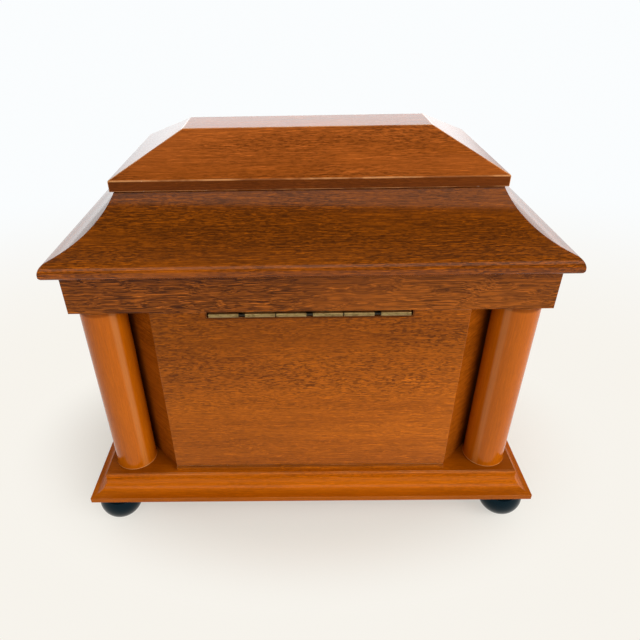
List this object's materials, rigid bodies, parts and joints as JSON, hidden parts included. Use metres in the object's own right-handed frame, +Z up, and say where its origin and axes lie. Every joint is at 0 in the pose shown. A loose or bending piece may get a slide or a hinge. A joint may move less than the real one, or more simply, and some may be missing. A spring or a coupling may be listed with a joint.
{
  "type": "cylinder music box",
  "caption": "Lacquered wooden casket music box with a hip-topped hinged lid, corner columns and ball feet, holding a key-wound cylinder movement under glass beside a jewellery well.",
  "frame": {"origin": "on the ground under the middle of the box", "axes": "+Z up, +X along the length, +Y to the hinged back; the front faces -Y"},
  "size_m": [0.2234, 0.138, 0.1895],
  "materials": {
    "panel_cherry": "gloss lacquer over figured cherry",
    "moulding_cherry": "gloss lacquer over streaked cherry",
    "block_cherry": "gloss lacquer",
    "column_cherry": "gloss lacquer",
    "plinth_cherry": "gloss lacquer",
    "black_lacquer": "gloss black lacquer",
    "inner_wood": "satin",
    "velvet": "short pile",
    "clear_glass": "clear",
    "aged_brass": "dulled",
    "movement_brass": "polished",
    "gilt_casting": "gold lacquer",
    "bright_steel": "bright"
  },
  "bodies": {
    "case": {"base_board": "plinth_cherry", "bedplate": "gilt_casting", "bedplate_screws": "bright_steel", "cant_back_left": "panel_cherry", "cant_back_right": "panel_cherry", "cant_front_left": "panel_cherry", "cant_front_right": "panel_cherry", "column_back_left": "column_cherry", "column_back_right": "column_cherry", "column_front_left": "column_cherry", "column_front_right": "column_cherry", "comb": "bright_steel", "comb_bridge": "gilt_casting", "comb_screws": "bright_steel", "cylinder_bearing": "movement_brass", "foot_back_left": "black_lacquer", "foot_back_right": "black_lacquer", "foot_front_left": "black_lacquer", "foot_front_right": "black_lacquer", "glass_cleats": "inner_wood", "glass_pane": "clear_glass", "governor_bracket": "movement_brass", "governor_frame": "movement_brass", "hinge_leaf_case": "aged_brass", "hinge_pin": "bright_steel", "hinge_screws_case": "aged_brass", "mainspring": "bright_steel", "panel_back": "panel_cherry", "panel_front": "panel_cherry", "panel_left": "panel_cherry", "panel_right": "panel_cherry", "partition": "inner_wood", "plinth_back": "plinth_cherry", "plinth_front": "plinth_cherry", "plinth_left": "plinth_cherry", "plinth_right": "plinth_cherry", "spring_housing": "movement_brass", "well_lining_board": "velvet"},
    "lid": {"cove_back": "moulding_cherry", "cove_front": "moulding_cherry", "cove_left": "moulding_cherry", "cove_right": "moulding_cherry", "hinge_leaf_lid": "aged_brass", "hinge_screws_lid": "aged_brass", "lid_block": "block_cherry", "lid_lining_panel": "velvet", "rim_back": "moulding_cherry", "rim_front": "moulding_cherry", "rim_left": "moulding_cherry", "rim_right": "moulding_cherry"},
    "cylinder": {"cylinder": "movement_brass", "cylinder_pins": "bright_steel", "cylinder_arbor": "bright_steel", "cylinder_wheel": "movement_brass"},
    "winding": {"winding_arbor": "bright_steel", "crown_wheel": "movement_brass", "winding_key": "movement_brass"},
    "governor": {"governor_arbor": "bright_steel"},
    "fly": {"endless_screw": "bright_steel"},
    "stop": {"stop_plunger": "bright_steel"}
  },
  "joints": [
    {"name": "lid_hinge", "type": "hinge", "parent": "case", "child": "lid", "pos_m": [0, 0.0591, 0.12395], "axis": [-1, 0, 0], "range_deg": [0, 100]},
    {"name": "stop_slide", "type": "slide", "parent": "case", "child": "stop", "axis": [0, 0, 1], "range_m": [0, 0.003]},
    {"name": "cylinder_spin", "type": "hinge", "parent": "case", "child": "cylinder", "pos_m": [-0.0385, 0, 0.0589], "axis": [1, 0, 0], "continuous": true},
    {"name": "winding_spin", "type": "hinge", "parent": "case", "child": "winding", "pos_m": [-0.0215, 0, 0.038], "axis": [0, 0, 1], "continuous": true},
    {"name": "governor_spin", "type": "hinge", "parent": "case", "child": "governor", "pos_m": [-0.0715, 0.0126, 0.0589], "axis": [1, 0, 0], "continuous": true},
    {"name": "fly_spin", "type": "hinge", "parent": "case", "child": "fly", "pos_m": [-0.0775, 0.01905, 0.038], "axis": [0, 0, 1], "continuous": true}
  ],
  "couplings": [
    {"joint": "stop_slide", "follows": "lid_hinge", "m_per_rad": 0.0017189},
    {"joint": "winding_spin", "follows": "cylinder_spin", "ratio": -0.5},
    {"joint": "governor_spin", "follows": "cylinder_spin", "ratio": -4},
    {"joint": "fly_spin", "follows": "cylinder_spin", "ratio": 48}
  ]
}
